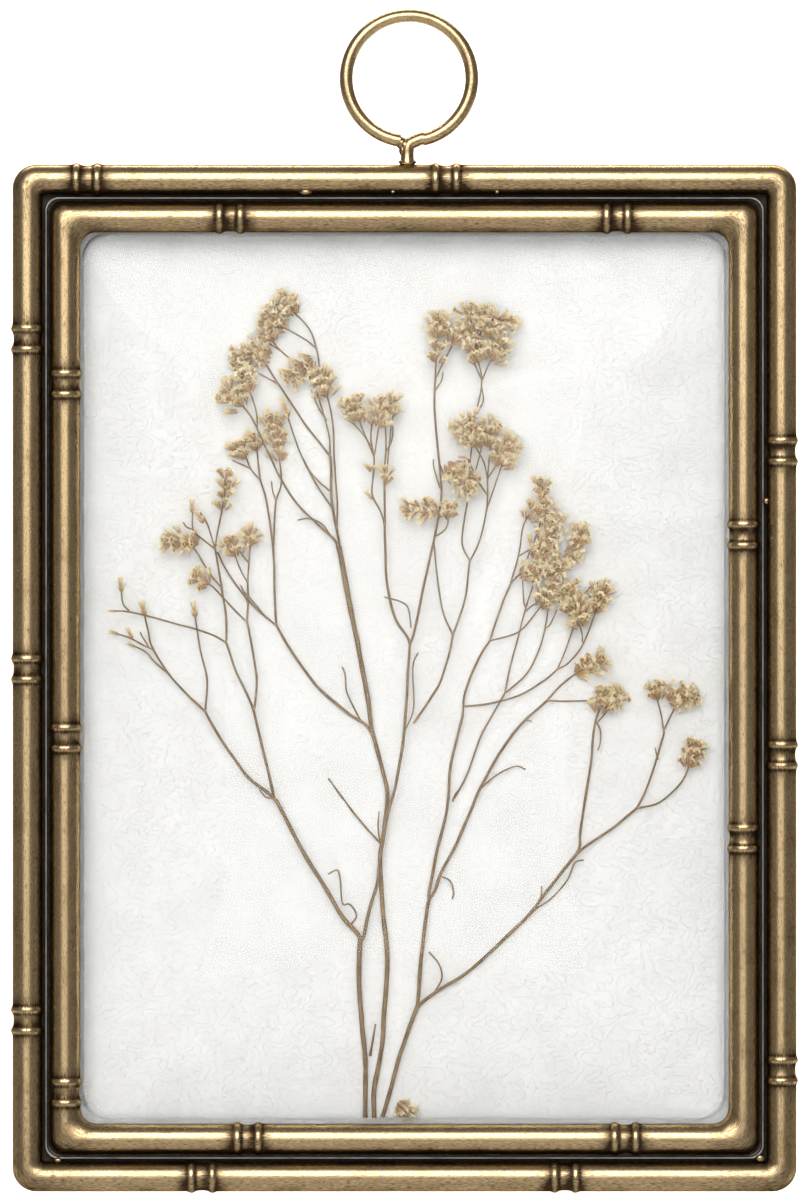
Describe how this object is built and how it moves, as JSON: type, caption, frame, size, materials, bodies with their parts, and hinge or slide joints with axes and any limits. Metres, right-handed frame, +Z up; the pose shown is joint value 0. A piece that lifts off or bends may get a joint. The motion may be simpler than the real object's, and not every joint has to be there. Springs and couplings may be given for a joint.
{
  "type": "pressed flower frame",
  "caption": "Dried flower stems on handmade paper behind domed glass, in a double brass bamboo frame that hangs on a fixed wire ring.",
  "frame": {"origin": "the point inside the top of the hanging ring that bears on the nail", "axes": "+X right along the wall, +Y into the wall, +Z up"},
  "size_m": [0.1574, 0.0143, 0.2368],
  "materials": {
    "aged_brass": "worn antique brass with dark patina beside the bamboo joints",
    "dark_brass": "dark patinated sheet brass with a dull grey raised edge",
    "clear_glass": "clear domed glass",
    "handmade_paper": "off white handmade paper with faint fibres",
    "back_board": "plain grey brown board",
    "dried_plant": "matt dried stems and papery straw coloured florets"
  },
  "bodies": {
    "root": {"outer_bamboo_rim": "aged_brass", "inner_bamboo_rim": "aged_brass", "brass_channel": "dark_brass", "hanging_ring": "aged_brass", "domed_glass": "clear_glass", "handmade_paper": "handmade_paper", "back_board": "back_board", "stem_a_foot": "dried_plant", "stem_a_left": "dried_plant", "stem_a_left_low": "dried_plant", "stem_a_left_tall": "dried_plant", "stem_a_right": "dried_plant", "stem_a_crown_left": "dried_plant", "stem_a_crown": "dried_plant", "stem_b_foot": "dried_plant", "stem_b_left": "dried_plant", "stem_b_middle": "dried_plant", "stem_b_crown_left": "dried_plant", "stem_b_crown": "dried_plant", "stem_c_foot": "dried_plant", "stem_c_middle": "dried_plant", "stem_c_left": "dried_plant", "stem_c_right": "dried_plant", "stem_c_crown": "dried_plant", "stem_d_foot": "dried_plant", "stem_d_up": "dried_plant", "stem_d_right": "dried_plant", "loose_leaf": "dried_plant", "fallen_floret": "dried_plant"}
  },
  "joints": []
}
